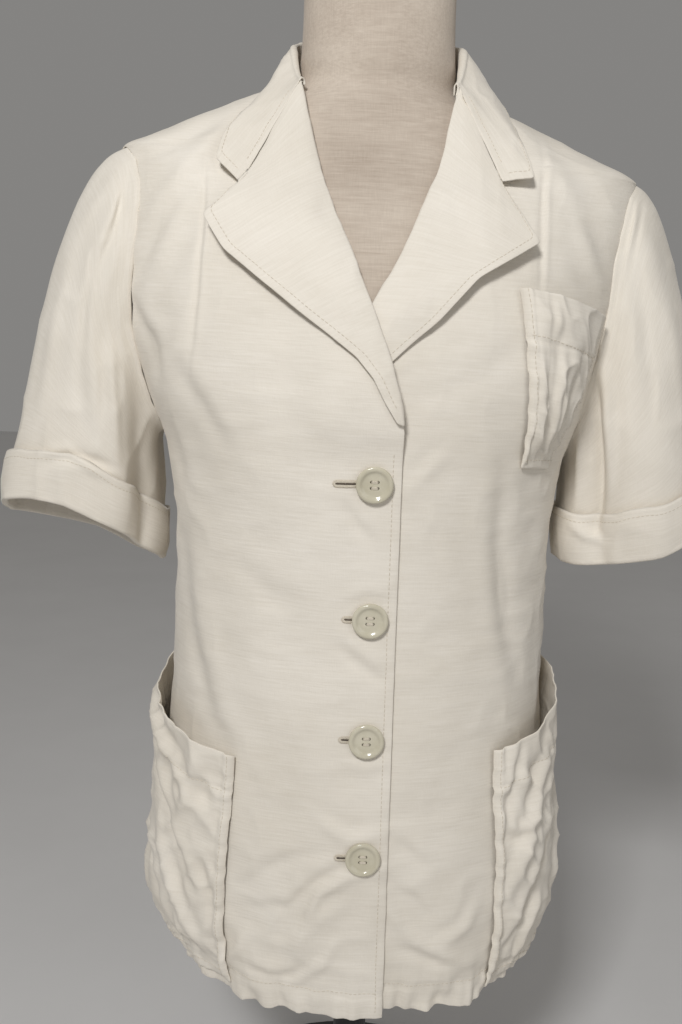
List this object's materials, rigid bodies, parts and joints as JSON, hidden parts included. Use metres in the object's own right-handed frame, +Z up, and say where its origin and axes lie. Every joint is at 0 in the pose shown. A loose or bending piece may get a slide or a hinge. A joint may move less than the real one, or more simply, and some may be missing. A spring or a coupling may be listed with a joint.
{
  "type": "linen jacket on a dress form",
  "caption": "Short-sleeved linen jacket with notched lapels, turned-up cuffs, patch pockets and a buttoned front, worn by a limbless dress form on a low stand.",
  "frame": {"origin": "centre of the underside of the stand's round base", "axes": "+Z up the neck, -Y out of the jacket's front, +X towards the wearer's left side"},
  "size_m": [0.5581, 0.3, 0.9924],
  "materials": {
    "linen": "off-white slubby linen",
    "button_plastic": "glossy cream with an olive tint",
    "form_linen": "tight natural linen cover",
    "stand_metal": "satin black paint"
  },
  "bodies": {
    "root": {"front_right": "linen", "front_left": "linen", "back": "linen", "collar": "linen", "lapel_right": "linen", "lapel_left": "linen", "sleeve_right": "linen", "sleeve_left": "linen", "cuff_right": "linen", "cuff_left": "linen", "chest_pocket": "linen", "hip_pocket_right": "linen", "hip_pocket_left": "linen", "button_1": "button_plastic", "button_2": "button_plastic", "button_3": "button_plastic", "button_4": "button_plastic", "dress_form": "form_linen", "stand_pole": "stand_metal", "stand_base": "stand_metal"}
  },
  "joints": []
}
